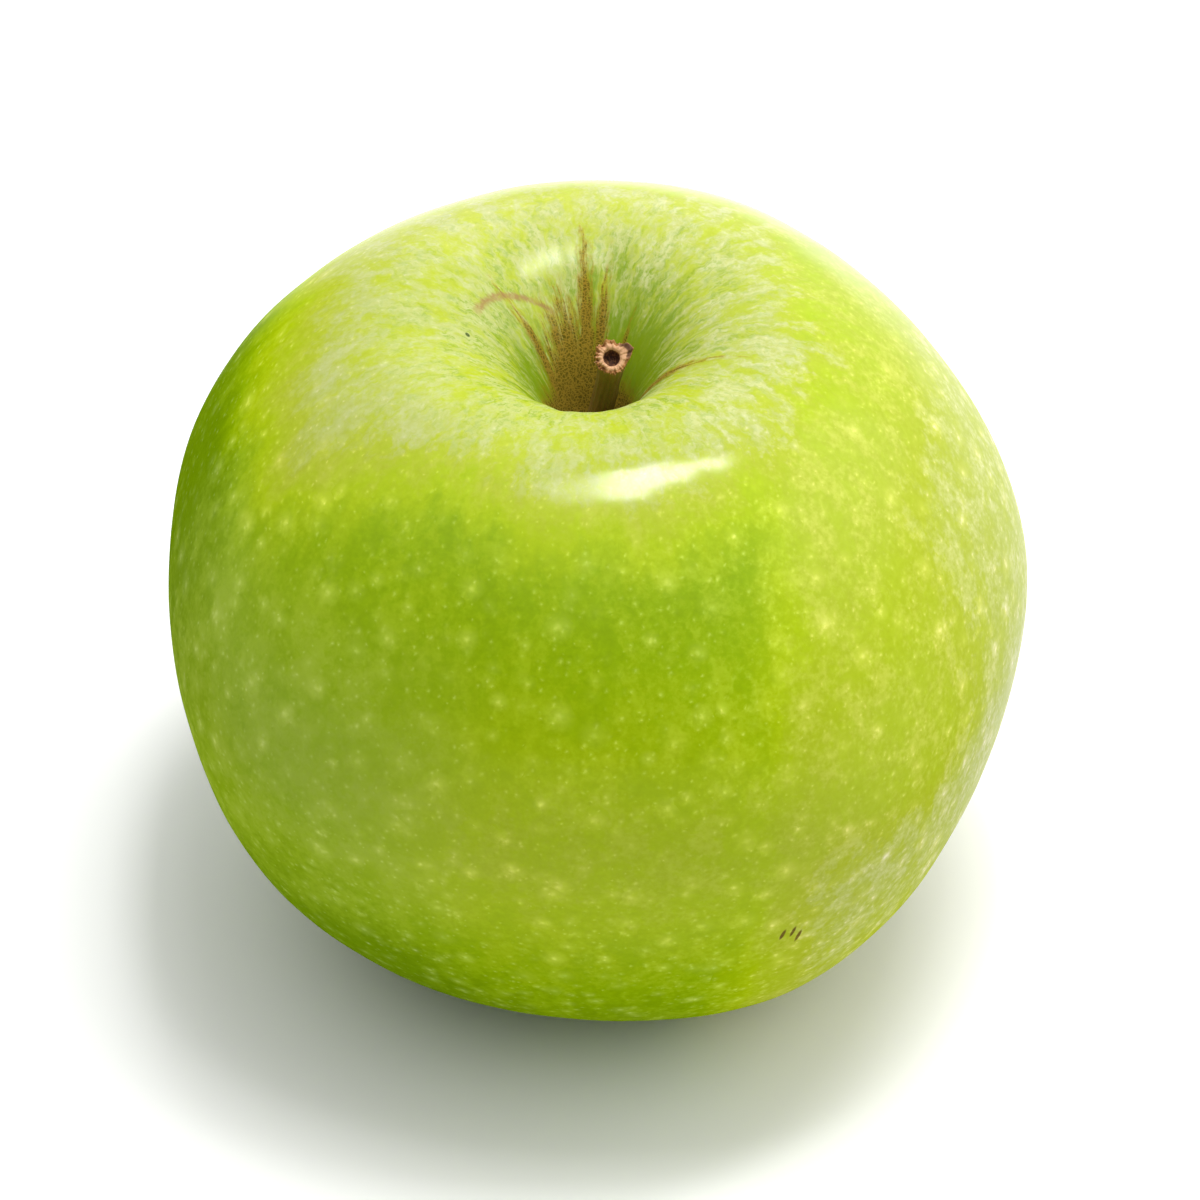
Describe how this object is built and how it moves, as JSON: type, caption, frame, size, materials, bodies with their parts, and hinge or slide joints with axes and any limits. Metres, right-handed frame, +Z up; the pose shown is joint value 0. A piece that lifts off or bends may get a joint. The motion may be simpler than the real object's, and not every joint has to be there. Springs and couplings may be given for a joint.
{
  "type": "green apple",
  "caption": "Whole green apple with a short woody stalk, soft lobes and the dried flower at its base, standing on a small flat spot.",
  "frame": {"origin": "on the surface that the apple stands on, under the middle of the fruit's box", "axes": "+Z up through the stalk end, -Y towards the front of the apple, the side its stalk bends to, and +X to the right of someone who faces that side"},
  "size_m": [0.08, 0.0794, 0.0676],
  "materials": {
    "apple_skin": "waxy yellow-green apple skin with pale pores, radial streaks and brown russet in the stalk cavity",
    "stalk_wood": "rough olive-brown woody stalk with a torn, paler end",
    "dry_sepal": "dry, papery, grey-brown and downy",
    "dry_stamens": "withered dark brown threads"
  },
  "bodies": {
    "root": {"fruit": "apple_skin", "stalk": "stalk_wood", "sepal_1": "dry_sepal", "sepal_2": "dry_sepal", "sepal_3": "dry_sepal", "sepal_4": "dry_sepal", "sepal_5": "dry_sepal", "stamens": "dry_stamens"}
  },
  "joints": []
}
